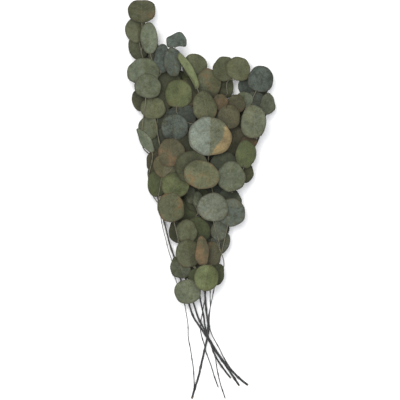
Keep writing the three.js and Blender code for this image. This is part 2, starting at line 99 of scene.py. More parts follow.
soft_lamp("broad_lamp", (-0.45, 0.6, 5.5), 2.0, 285.0, (1.0, 0.995, 0.98))
soft_lamp("side_lamp", (1.0, -0.7, 4.5), 1.6, 50.0, (0.96, 0.98, 1.0))
world = bpy.data.worlds.new("soft_room")
world.use_nodes = True
world.node_tree.nodes["Background"].inputs["Color"].default_value = (0.93, 0.95, 1.0, 1.0)
world.node_tree.nodes["Background"].inputs["Strength"].default_value = 0.45
bpy.context.scene.world = world
bpy.context.scene.view_settings.view_transform = "Standard"

# %% Pale floor
floor_mesh = bpy.data.meshes.new("floor")
FLOOR_REACH = 6.0
FLOOR_DROP = 0.0005
floor_mesh.from_pydata(
    [(x * FLOOR_REACH, y * FLOOR_REACH, 0) for x, y in ((-1, -1), (1, -1), (1, 1), (-1, 1))],
    [], [(0, 1, 2, 3)])
floor = bpy.data.objects.new("floor", floor_mesh)
floor.location = (0, 0, -FLOOR_DROP)
bpy.context.scene.collection.objects.link(floor)
floor_paint = bpy.data.materials.new("pale_floor")
floor_paint.use_nodes = True
floor_shader = floor_paint.node_tree.nodes["Principled BSDF"]
floor_shader.inputs["Base Color"].default_value = (0.97, 0.97, 0.97, 1.0)
floor_shader.inputs["Roughness"].default_value = 0.9
floor_mesh.materials.append(floor_paint)

# %% [markdown]
# ## Reading the leaves from the exact model
# In the exact model a leaf is a thin plate with a crease along its midrib, so it shows as two
# large flat facets that share the midrib. Measuring those facets gives its base, tip,
# width and fold. A leaf whose fold is too slight to see shows as one facet and is measured
# from that. Where the widest corners lie on either side of a leaf's middle, they are at
# STRADDLED of its full width. Typing all this in again would be an easy way to get it wrong.

# %% Join up an exact shape
def exact_shape(node):
    mesh = node.data
    mesh.calc_loop_triangles()
    number, points, where = {}, [], []
    for vertex in mesh.vertices:
        key = tuple(round(c, 6) for c in vertex.co)
        if key not in number:
            number[key] = len(points)
            points.append(vertex.co[:])
        where.append(number[key])
    triangles = [[where[k] for k in tri.vertices] for tri in mesh.loop_triangles]
    return np.array(points), np.array([tri for tri in triangles if len(set(tri)) == 3])


# %% Find the large flat facets
SMALLEST_FACET = 60e-6
SAME_PLANE = 0.9993


def flat_facets(points, triangles):
    a, b, c = (points[triangles[:, k]] for k in range(3))
    cross = np.cross(b - a, c - a)
    twice = np.linalg.norm(cross, axis=1)
    normals = cross / np.maximum(twice, 1e-15)[:, None]
    beside = {}
    for t, tri in enumerate(triangles):
        for k in range(3):
            beside.setdefault(frozenset((tri[k], tri[(k + 1) % 3])), []).append(t)
    taken, facets = set(), []
    for seed in np.argsort(-twice):
        if seed in taken:
            continue
        members, waiting = [], [seed]
        taken.add(seed)
        while waiting:
            t = waiting.pop()
            members.append(t)
            for k in range(3):
                edge = frozenset((triangles[t][k], triangles[t][(k + 1) % 3]))
                for other in beside[edge]:
                    if other not in taken and normals[other] @ normals[seed] > SAME_PLANE:
                        taken.add(other)
                        waiting.append(other)
        area = twice[members].sum() / 2
        if area > SMALLEST_FACET:
            corners = set(int(v) for t in members for v in triangles[t])
            facets.append({"normal": normals[seed], "area": area, "corners": corners})
    return facets


# %% Measure one leaf
STRADDLED = 0.956
SHORTEST_CREASE = 0.008
LONE_FACET = 400e-6


def crowd(points, spot, reach=0.006):
    return int((np.linalg.norm(points - spot, axis=1) < reach).sum())


def measure_leaf(points, corners, normal, base, tip):
    along = (tip - base) / np.linalg.norm(tip - base)
    face = normal - (normal @ along) * along
    face /= np.linalg.norm(face)
    across = np.cross(face, along)
    offsets = points[sorted(corners)] - tip
    sideways = offsets @ across
    half_width = np.abs(sideways).max()
    wide = np.abs(sideways) > 0.97 * half_width
    middle = (offsets @ along)[wide]
    length = -2 * middle.mean()
    rise = ((offsets @ face)[wide] / np.abs(sideways[wide])).mean()
    if np.ptp(middle) > 0.2 * length:
        half_width /= STRADDLED
    return {
        "centre": tip - along * length / 2, "along": along, "across": across, "face": face,
        "length": length, "width": 2 * half_width, "fold": rise, "base": tip - along * length,
    }


def leaves_of(points, triangles):
    upper = [f for f in flat_facets(points, triangles) if f["normal"][2] > 0]
    leaves, used = [], set()
    for i, one in enumerate(upper):
        for j in range(i + 1, len(upper)):
            other = upper[j]
            shared = sorted(one["corners"] & other["corners"])
            if i in used or j in used or len(shared) < 2:
                continue
            spots = points[shared]
            gaps = np.linalg.norm(spots[:, None] - spots[None], axis=2)
            first, last = np.unravel_index(gaps.argmax(), gaps.shape)
            if gaps.max() < SHORTEST_CREASE:
                continue
            ends = sorted((spots[first], spots[last]), key=lambda s: -crowd(points, s))
            normal = one["normal"] * one["area"] + other["normal"] * other["area"]
            leaves.append(measure_leaf(
                points, one["corners"] | other["corners"], normal / np.linalg.norm(normal),
                ends[0], ends[1]))
            used |= {i, j}
    for i, one in enumerate(upper):
        if i in used or one["area"] < LONE_FACET:
            continue
        corners = sorted(one["corners"])
        base = points[max(corners, key=lambda v: crowd(points, points[v]))]
        tip = points[max(corners, key=lambda v: np.linalg.norm(points[v] - base))]
        leaves.append(measure_leaf(points, corners, one["normal"], base, tip))
    return leaves


shapes = {name: exact_shape(frame["nodes"][name]) for name in shoot_names}
leaves = {name: leaves_of(*shapes[name]) for name in shoot_names}

# %% [markdown]
# ## Reading the stems and stalks
# Stems and stalks are bars built from straight runs, with a ring of corners at each bend.
# Corners that lie close together belong to one ring, so the middle of each ring is a point
# on the centre line. Following the bars' edges from ring to ring gives each leaf's way
# down to its stem. A group of rings that shares no edge with the rest is joined to it at
# the nearest two rings, and a way's last point lies inside the stem, so that no stalk ends
# in the air.

# %% Group corners into rings
STEM_RING_GAP = 0.0042
STALK_RING_GAP = 0.0019


def rings_of(points, chosen, gap):
    ring_of, rings = {}, []
    for v in chosen:
        if v in ring_of:
            continue
        members, waiting = [], [v]
        ring_of[v] = len(rings)
        while waiting:
            at = waiting.pop()
            members.append(at)
            for other in chosen:
                if other not in ring_of and np.linalg.norm(points[at] - points[other]) < gap:
                    ring_of[other] = len(rings)
                    waiting.append(other)
        rings.append(points[members].mean(axis=0))
    return ring_of, np.array(rings)


stem_lines = {}
for name in stem_names:
    points, _ = exact_shape(frame["nodes"][name])
    _, rings = rings_of(points, list(range(len(points))), STEM_RING_GAP)
    rings = rings[np.argsort(rings[:, 1])]
    end = points[np.argsort(np.linalg.norm(points - rings[0], axis=1))[:6]]
    radius = np.linalg.norm(end - rings[0], axis=1).mean()
    stem_lines[name] = {"line": rings, "radius": radius}
print("stem radii", [round(1000 * s["radius"], 2) for s in stem_lines.values()], "mm")
stem_cloud = np.concatenate([
    np.array([a + (b - a) * t for a, b in zip(s["line"], s["line"][1:])
              for t in np.linspace(0, 1, 12)]) for s in stem_lines.values()])


# %% Follow each stalk to its stem
def stalk_lines(points, triangles, group):
    flats = flat_facets(points, triangles)
    on_leaf = set().union(*(f["corners"] for f in flats))
    chosen = [v for v in range(len(points)) if v not in on_leaf]
    ring_of, rings = rings_of(points, chosen, STALK_RING_GAP)
    links = {k: set() for k in range(len(rings))}
    for tri in triangles:
        touched = sorted({ring_of[v] for v in tri if v in ring_of})
        for a in touched:
            links[a] |= set(touched) - {a}
    foot = min(range(len(rings)),
               key=lambda k: np.linalg.norm(stem_cloud - rings[k], axis=1).min())
    way_down, waiting = {foot: None}, [foot]
    while waiting:
        at = waiting.pop(0)
        for other in sorted(links[at], key=lambda k: np.linalg.norm(rings[k] - rings[at])):
            if other not in way_down:
                way_down[other] = at
                waiting.append(other)
        loose = [k for k in links if k not in way_down]
        if not waiting and loose:
            reached = list(way_down)
            gaps = np.linalg.norm(rings[loose][:, None] - rings[reached][None], axis=2)
            new, old = np.unravel_index(gaps.argmin(), gaps.shape)
            way_down[loose[new]] = reached[old]
            waiting.append(loose[new])
    lines, walked = [], set()
    for leaf in sorted(group, key=lambda l: l["base"][1]):
        line = [leaf["base"] + leaf["along"] * 0.004, leaf["base"]]
        at = min(way_down, key=lambda k: np.linalg.norm(rings[k] - leaf["base"]))
        while at is not None:
            line.append(rings[at])
            if at in walked:
                break
            walked.add(at)
            if at == foot:
                line.append(stem_cloud[np.linalg.norm(stem_cloud - rings[foot], axis=1).argmin()])
            at = way_down[at]
        lines.append(np.array(line))
    return lines


stalks = {name: stalk_lines(*shapes[name], leaves[name]) for name in shoot_names}
print(sum(len(lines) for lines in stalks.values()), "stalks followed")

# %% [markdown]
# ## Making round, tapering twigs
# A twig is a tube whose radius shrinks toward its tip, with small swellings where leaves
# once grew. A curve with a bevel could make it, but building the rings by hand lets the
# bark swell and a value along the twig be stored for the bark's paint.

# %% A smooth line through the rings
def smooth_line(line, spacing):
    clean = [line[0]]
    for point in line[1:]:
        if np.linalg.norm(point - clean[-1]) > 0.0015:
            clean.append(point)
    line = np.array(clean)
    padded = np.vstack([2 * line[0] - line[1], line, 2 * line[-1] - line[-2]])
    found = []
    for k in range(len(line) - 1):
        a, b, c, d = padded[k:k + 4]
        parts = max(1, int(round(np.linalg.norm(c - b) / spacing)))
        for t in np.arange(parts) / parts:
            found.append(0.5 * (2 * b + (c - a) * t + (2 * a - 5 * b + 4 * c - d) * t ** 2
                                + (3 * b - a - 3 * c + d) * t ** 3))
    found.append(line[-1])
    return np.array(found)


# %% A tube with its own radius at every ring
def add_tube(store, line, radii, sides, lift=0.0):
    first = len(store["points"])
    tangents = np.gradient(line, axis=0)
    tangents /= np.linalg.norm(tangents, axis=1)[:, None]
    side = np.cross(tangents[0], (0.13, 0.21, 0.97))
    side /= np.linalg.norm(side)
    for k, (spot, tangent, radius) in enumerate(zip(line, tangents, radii)):
        side = side - (side @ tangent) * tangent
        side /= np.linalg.norm(side)
        up = np.cross(tangent, side)
        for j in range(sides):
            angle = 2 * math.pi * j / sides
            out = math.cos(angle) * side + math.sin(angle) * up
            bump = 1 + 0.05 * math.sin(3 * angle + 0.9 * k)
            store["points"].append(spot + out * radius * bump)
            store["values"].append((k / (len(line) - 1), j / sides, lift))
    for k in range(len(line) - 1):
        for j in range(sides):
            a = first + k * sides + j
            b = first + k * sides + (j + 1) % sides
            store["faces"].append((a, b, b + sides, a + sides))
    last = first + (len(line) - 1) * sides
    store["faces"].append(tuple(first + j for j in reversed(range(sides))))
    store["faces"].append(tuple(last + j for j in range(sides)))


def build_piece(name, store):
    mesh = bpy.data.meshes.new(name)
    mesh.from_pydata([tuple(p) for p in store["points"]], [], store["faces"])
    for label, values in (("shape", store["values"]), ("look", store.get("looks")),
                          ("halves", store.get("halves"))):
        if values:
            layer = mesh.attributes.new(label, "FLOAT_VECTOR", "POINT")
            layer.data.foreach_set("vector", np.array(values, dtype=np.float32).ravel())
    mesh.polygons.foreach_set("use_smooth", [True] * len(mesh.polygons))
    mesh.update()
    piece = bpy.data.objects.new(name, mesh)
    bpy.context.scene.collection.objects.link(piece)
    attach(piece, "root")
    return piece


# %% Woody stems
STEM_SIDES = 10


def stem_radii(line, radius, rng):
    share = np.linspace(0, 1, len(line))
    radii = radius * (0.92 if radius > 0.0012 else 0.7) * (1 - 0.5 * share)
    spot = rng.uniform(0.02, 0.05)
    while spot < 0.97:
        radii += radius * 0.3 * np.exp(-((share - spot) / 0.0045) ** 2)
        spot += rng.uniform(0.05, 0.085)
    return radii


stem_pieces = []
for count, (name, stem) in enumerate(stem_lines.items()):
    rng = random.Random(40 + count)
    line = smooth_line(stem["line"], 0.0016)
    sway = np.array([rng.uniform(-1, 1) for _ in range(6)])
    share = np.linspace(0, 1, len(line))
    for k in range(3):
        wobble = np.sin(2 * math.pi * (5 + 4 * k) * share + 6 * sway[k]) * 0.0006 / (k + 1)
        line = line + np.outer(wobble, (1, 0, 0.4))
    store = {"points": [], "values": [], "faces": []}
    add_tube(store, line, stem_radii(line, stem["radius"], rng), STEM_SIDES)
    low = min(point[2] for point in store["points"])
    if low < 0:
        store["points"] = [point - np.array((0, 0, low)) for point in store["points"]]
    piece = build_piece("bark_" + name, store)
    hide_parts(name)
    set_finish(piece, slot_of[name])
    stem_pieces.append(piece)
print("stems have", sum(len(p.data.polygons) for p in stem_pieces), "faces")

# %% [markdown]
# ## Leaf stalks
# A stalk is a thin, plain twig that thickens a little where it meets the stem. It is the
# same tube as a stem with fewer sides, because it is too thin for more of them to show.

# %% Leaf stalks
STALK_AT_LEAF = 0.00050
STALK_AT_STEM = 0.00080
STALK_FLARE = 1.35
STALK_SIDES = 7
stalk_pieces = []
for name, lines in stalks.items():
    store = {"points": [], "values": [], "faces": []}
    for line in lines:
        line = smooth_line(line, 0.003)
        radii = np.linspace(STALK_AT_LEAF, STALK_AT_STEM, len(line))
        radii[-2:] *= STALK_FLARE
        add_tube(store, line, radii, STALK_SIDES, 1.0)
    if lines:
        piece = build_piece("stalks_" + name, store)
        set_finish(piece, "stem")
        stalk_pieces.append(piece)
print(len(stalk_pieces), "sets of stalks")

# %% [markdown]
# ## What lies over each leaf, for painted shade
# Little light reaches the inside of a bunch, so covered leaves look darker. This shade is painted
# into their colour: every other leaf is treated as an oval that paints shade on what is under
# it, most at its middle. The lamps shade them too, but light this soft leaves the gaps too
# pale without the painted shade.

# %% How much lies over a spot
every_leaf = [leaf for name in shoot_names for leaf in leaves[name]]
HIGHEST = max(leaf["centre"][2] for leaf in every_leaf)
centres, faces, alongs, acrosses = (
    np.array([leaf[key] for leaf in every_leaf])
    for key in ("centre", "face", "along", "across"))
half_sizes = np.array([(leaf["length"] / 2, leaf["width"] / 2) for leaf in every_leaf])


# How much other leaves cover a spot, from 0 to 1; it sets the painted shade there.
def cover_for_painted_shade(point, own):
    away = point - centres
    rise = -np.einsum("ij,ij->i", away, faces) / np.maximum(faces[:, 2], 0.3)
    away = away + rise[:, None] * (0, 0, 1)
    r = np.hypot(np.einsum("ij,ij->i", away, alongs) / half_sizes[:, 0],
                 np.einsum("ij,ij->i", away, acrosses) / half_sizes[:, 1])
    share = np.clip((1.8 - r) / 0.95, 0, 1) * np.clip((rise - 0.001) / 0.006, 0, 1)
    share[[leaf is own for leaf in every_leaf]] = 0
    return float(1 - np.prod(1 - 0.6 * share ** 1.3))


top = int(np.argmax(centres[:, 2]))
print("cover over the highest leaf", cover_for_painted_shade(centres[top], every_leaf[top]))

# %% [markdown]
# ## How worn and how dry each leaf is, and its painted light and shade
# The leaves grow with a pale waxy bloom that rubs off in handling. One half of some leaves is
# painted paler than the other, partly as worn bloom and partly as painted light on a half that
# a fold turns up. On this bunch the broadest leaf has a pale half, bloom and painted light, and
# a scorched patch on the other, the narrow leaves are paler, and the steep ones are painted
# paler still, as painted light on blades that face away from the lamps. Each leaf is painted
# lighter the less other leaves cover it. Leaves near the floor get no painted shade and a fixed
# painted lightness, because little light reaches them from the side.

# %% Worn bloom and painted light on each half
LOW_LEAF = 0.02
NARROW = 0.62
STEEP = 0.62
widest = max(every_leaf, key=lambda leaf: leaf["width"])
rng = random.Random(5)
for leaf in every_leaf:
    left, right = rng.uniform(0.0, 0.25), rng.uniform(0.0, 0.25)
    # Some leaves get one half painted paler, partly worn bloom and partly painted light on a half
    # turned up.
    if rng.random() < 0.18:
        left, right = rng.choice([(0.5, -0.2), (-0.2, 0.5)])
    leaf["bloom"] = (left, right, 0.0)
    # Painted lightness: the less other leaves cover a leaf's middle, the lighter it is painted.
    leaf["shown"] = 1 - cover_for_painted_shade(leaf["centre"], leaf)
    leaf["dry"] = rng.random()
    leaf["shaded"] = 1.0
    # Leaves near the floor: no painted shade, and a fixed painted lightness.
    if leaf["centre"][2] < LOW_LEAF:
        leaf["shown"], leaf["shaded"] = 0.7, 0.0
# The broadest leaf: one half pale, partly bloom and partly painted light; a scorched patch on the
# other half.
to_right = widest["across"][0] > 0
widest["bloom"] = (0.7, -0.25, 0.7) if to_right else (-0.25, 0.7, -0.7)
for leaf in every_leaf:
    if leaf["width"] < NARROW * leaf["length"]:
        leaf["bloom"], leaf["dry"] = (0.5, 0.3, 0.0), -0.6
    # Steep leaves face away from the lamps: full bloom, and a much larger painted lightness.
    if leaf["face"][2] < STEEP:
        leaf["bloom"], leaf["shown"], leaf["dry"] = (0.9, 0.8, 0.0), 2.8, 0.2
print(sum(leaf["shaded"] == 0.0 for leaf in every_leaf), "leaves lie near the floor")

# %% [markdown]
# ## Growing the leaves
# A dried leaf is a nearly round blade, thin as card, that has cupped and buckled as it lost
# water. Each blade is laid out on a grid that follows its rim, then bent: up from the midrib
# by the measured fold, gently along its length, and in a few slow waves round the rim.
# The grid's own coordinates are stored, because the veins are painted along them.

# %% One leaf blade
ROWS = 16
COLUMNS = 12
BLADE = 0.00045


def leaf_surface(leaf, rng, free):
    half_long, half_wide = leaf["length"] / 2, leaf["width"] / 2
    waves = [(rng.uniform(0.5, 1.6) * free, n, rng.uniform(0, 6.28)) for n in (2, 3, 5)]
    uneven = [(rng.uniform(0.006, 0.024), n, rng.uniform(0, 6.28)) for n in (2, 3, 4, 7)]
    cup = rng.uniform(-0.7, 1.0) * free
    arch = rng.uniform(-1.0, 0.4) * free
    lean = rng.uniform(-0.035, 0.035)
    curl, curl_at = rng.choice((-2.2, 1.5, 2.6, 3.6)) * free, rng.uniform(-2.4, 2.4)

    def spot(row, column):
        turn = math.pi * row / ROWS
        u = -math.cos(turn)
        v = math.sin(math.pi / 2 * column / (COLUMNS / 2)) if abs(column) < COLUMNS / 2 else (
            1.0 if column > 0 else -1.0)
        reach = math.sin(turn) ** 0.94 * (1 - 0.05 * u)
        angle = math.atan2(v * reach, u)
        far = math.hypot(u, v * reach)
        rim = 1 + far ** 3 * sum(a * math.sin(n * angle + p) for a, n, p in uneven)
        along = u * rim * half_long
        across = v * reach * rim * half_wide + lean * half_long * (1 - u * u)
        height = leaf["fold"] * (math.sqrt(across ** 2 + 0.0012 ** 2) - 0.0012)
        height += 0.001 * cup * far ** 2 + 0.001 * arch * u * u
        height += sum(0.001 * a * far ** 3 * math.sin(n * angle + p) / (0.6 * n)
                      for a, n, p in waves)
        height += 0.001 * curl * max(0.0, math.cos(angle - curl_at)) ** 6 * far ** 4
        height += 0.00035 * math.exp(-(across / 0.0011) ** 2) * (1 - max(u, 0) ** 2)
        return along, across, height, (u + 1) / 2, v * reach

    return spot


def add_leaf(store, leaf, rng, free, look):
    spot = leaf_surface(leaf, rng, free)
    half = COLUMNS // 2
    for side in (1, -1):
        number = {}
        for row in range(ROWS + 1):
            columns = [0] if row in (0, ROWS) else range(-half, half + 1)
            for column in columns:
                along, across, height, u, v = spot(row, column)
                number[row, column] = len(store["points"])
                point = (leaf["centre"] + along * leaf["along"] + across * leaf["across"]
                         + (height + side * BLADE / 2) * leaf["face"])
                point[2] = max(point[2], 0.00005)
                store["points"].append(point)
                store["values"].append((u, v, side))
                # The third value is painted shade: how much the leaves above cover this point.
                store["looks"].append((*look, leaf["shaded"] * cover_for_painted_shade(point, leaf)))
                store["halves"].append(leaf["bloom"])
        for row in range(ROWS):
            for column in range(-half, half):
                corners = []
                for r, c in ((row, column), (row, column + 1), (row + 1, column + 1),
                             (row + 1, column)):
                    corner = number[r, 0 if r in (0, ROWS) else c]
                    if corner not in corners:
                        corners.append(corner)
                store["faces"].append(tuple(corners if side == -1 else reversed(corners)))
        store.setdefault("rims", []).append(number)
    top, bottom = store["rims"][-2:]
    rim = [(0, 0)] + [(r, half) for r in range(1, ROWS)] + [(ROWS, 0)]
    rim += [(r, -half) for r in range(ROWS - 1, 0, -1)]
    for k, at in enumerate(rim):
        after = rim[(k + 1) % len(rim)]
        store["faces"].append((top[at], top[after], bottom[after], bottom[at]))


# %% Leaves of one shoot
leaf_pieces = []
for count, name in enumerate(shoot_names):
    rng = random.Random(700 + count)
    store = {"points": [], "values": [], "faces": [], "looks": [], "halves": []}
    for leaf in leaves[name]:
        height = leaf["centre"][2] / HIGHEST
        # First value: random tone plus painted light, lighter for less covered and for higher
        # leaves; second: dryness.
        look = (0.32 * rng.random() + 0.42 * leaf["shown"] + 0.32 * height, leaf["dry"])
        add_leaf(store, leaf, rng, 0.5 + 1.0 * height ** 2, look)
    piece = build_piece("leaves_" + name, store)
    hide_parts(name)
    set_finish(piece, slot_of[name])
    leaf_pieces.append(piece)
print("leaves have", sum(len(p.data.polygons) for p in leaf_pieces), "faces")

# %% [markdown]
# ## Painting dried leaves
# Every leaf has the same surface, in a different colour: a mottled blade under a thin waxy
# bloom, fine veins that leave the midrib at a steep angle, rust-brown freckles, tan patches
# where the leaf has scorched, and a rim that is a little darker. Painted light and painted
# shade are added on top, darker where other leaves cover a blade. One shared group of nodes
# makes these and each leaf colour uses it with its own settings. Painting them as images
# would work too, but a group stays sharp at any distance and can be reused on other leaves.

# %% Small helpers for node trees
def node(tree, kind, **settings):
    made = tree.nodes.new(kind)
    for key, value in settings.items():
        setattr(made, key, value)
    return made


def link(tree, source, target):
    if isinstance(source, (int, float, tuple)):
        target.default_value = source
    else:
        tree.links.new(source, target)


def maths(tree, operation, a, b=0.0, c=0.0, clamp=False):
    made = node(tree, "ShaderNodeMath", operation=operation, use_clamp=clamp)
    for value, socket in zip((a, b, c), made.inputs):
        link(tree, value, socket)
    return made.outputs[0]


def smooth_step(tree, value, low, high, to_low=0.0, to_high=1.0):
    made = node(tree, "ShaderNodeMapRange", interpolation_type="SMOOTHSTEP")
    for v, socket in zip((value, low, high, to_low, to_high), made.inputs):
        link(tree, v, socket)
    return made.outputs["Result"]


def blend(tree, amount, a, b, mode="MIX"):
    made = node(tree, "ShaderNodeMix", data_type="RGBA", blend_type=mode, clamp_factor=True)
    link(tree, amount, made.inputs["Factor"])
    link(tree, a, made.inputs["A"])
    link(tree, b, made.inputs["B"])
    return made.outputs["Result"]


def cloud(tree, where, scale, detail=3.0, rough=0.55, stretch=None):
    if stretch:
        scaled = node(tree, "ShaderNodeMapping")
        link(tree, where, scaled.inputs["Vector"])
        scaled.inputs["Scale"].default_value = stretch
        where = scaled.outputs["Vector"]
    made = node(tree, "ShaderNodeTexNoise")
    link(tree, where, made.inputs["Vector"])
    made.inputs["Scale"].default_value = scale
    made.inputs["Detail"].default_value = detail
    made.inputs["Roughness"].default_value = rough
    return made.outputs["Fac"]


def new_group(name, inputs, outputs):
    group = bpy.data.node_groups.new(name, "ShaderNodeTree")
    for label, kind, value in inputs:
        socket = group.interface.new_socket(label, in_out="INPUT", socket_type=kind)
        socket.default_value = value
    for label, kind in outputs:
        group.interface.new_socket(label, in_out="OUTPUT", socket_type=kind)
    return group, group.nodes.new("NodeGroupInput"), group.nodes.new("NodeGroupOutput")


def linear(red, green, blue):
    def one(value):
        value /= 255
        return value / 12.92 if value <= 0.04045 else ((value + 0.055) / 1.055) ** 2.4
    return (one(red), one(green), one(blue), 1.0)


# %% [markdown]
# ## One kind of finish
# Leaves and bark are both dull and slightly rough, so they share this last step: a group
# of nodes gives the colour and the small heights, and each material adds its own gloss.

# %% A dull, slightly rough finish
def finished_material(name, group, colours, amounts, gloss, bump_strength, bump_depth):
    paint = bpy.data.materials.new(name)
    paint.use_nodes = True
    tree = paint.node_tree
    tree.nodes.clear()
    surface = node(tree, "ShaderNodeGroup", node_tree=group)
    for label, colour in colours.items():
        surface.inputs[label].default_value = linear(*colour)
    for label, amount in amounts.items():
        surface.inputs[label].default_value = amount
    shader = node(tree, "ShaderNodeBsdfPrincipled")
    shader.inputs["Specular IOR Level"].default_value = gloss
    bump = node(tree, "ShaderNodeBump")
    bump.inputs["Strength"].default_value = bump_strength
    bump.inputs["Distance"].default_value = bump_depth
    link(tree, surface.outputs["Height"], bump.inputs["Height"])
    link(tree, surface.outputs["Colour"], shader.inputs["Base Color"])
    link(tree, bump.outputs["Normal"], shader.inputs["Normal"])
    out = node(tree, "ShaderNodeOutputMaterial")
    link(tree, shader.outputs["BSDF"], out.inputs["Surface"])
    return paint, surface, shader

# %% [markdown]
# ## Veins
# The stored shape gives u from leaf stalk to tip and v from midrib to rim. A side vein
# leaves the midrib and sweeps forward, so adding part of |v| to u and repeating the sum
# gives evenly spaced side veins. Noise bends them so that no two are the same.

# %% Vein pattern group
def make_veins():
    tree, given, result = new_group(
        "leaf_veins",
        [("Side Veins", "NodeSocketFloat", 9.0)],
        [("Veins", "NodeSocketFloat"), ("Midrib", "NodeSocketFloat"),
         ("Rim", "NodeSocketFloat")])
    shape = node(tree, "ShaderNodeAttribute", attribute_name="shape")
    split = node(tree, "ShaderNodeSeparateXYZ")
    link(tree, shape.outputs["Vector"], split.inputs[0])
    u, v = split.outputs["X"], split.outputs["Y"]
    place = node(tree, "ShaderNodeTexCoord").outputs["Object"]
    bend = maths(tree, "SUBTRACT", cloud(tree, place, 90.0), 0.5)
    from_midrib = maths(tree, "ABSOLUTE", v)
    sweep = maths(tree, "MULTIPLY_ADD", from_midrib, -0.42, u)
    sweep = maths(tree, "MULTIPLY_ADD", bend, 0.16, sweep)
    place_in_row = maths(tree, "PINGPONG", maths(tree, "MULTIPLY", sweep,
                                                given.outputs["Side Veins"]), 0.5)
    side = smooth_step(tree, place_in_row, 0.0, 0.11, 1.0, 0.0)
    side = maths(tree, "MULTIPLY", side, smooth_step(tree, from_midrib, 0.55, 0.98, 1.0, 0.25))
    net = node(tree, "ShaderNodeTexVoronoi", feature="DISTANCE_TO_EDGE")
    link(tree, place, net.inputs["Vector"])
    net.inputs["Scale"].default_value = 420.0
    mesh_veins = smooth_step(tree, net.outputs["Distance"], 0.0, 0.10, 0.45, 0.0)
    midrib = smooth_step(tree, from_midrib, 0.0, 0.042, 1.0, 0.0)
    across = maths(tree, "MULTIPLY_ADD", u, 2.0, -1.0)
    far = maths(tree, "SQRT", maths(tree, "ADD", maths(tree, "MULTIPLY", across, across),
                                   maths(tree, "MULTIPLY", v, v)))
    rim = smooth_step(tree, maths(tree, "MULTIPLY_ADD", bend, 0.08, far), 0.87, 0.985)
    link(tree, maths(tree, "MAXIMUM", side, mesh_veins), result.inputs["Veins"])
    link(tree, midrib, result.inputs["Midrib"])
    link(tree, rim, result.inputs["Rim"])
    return tree


veins = make_veins()
print("made group", veins.name)
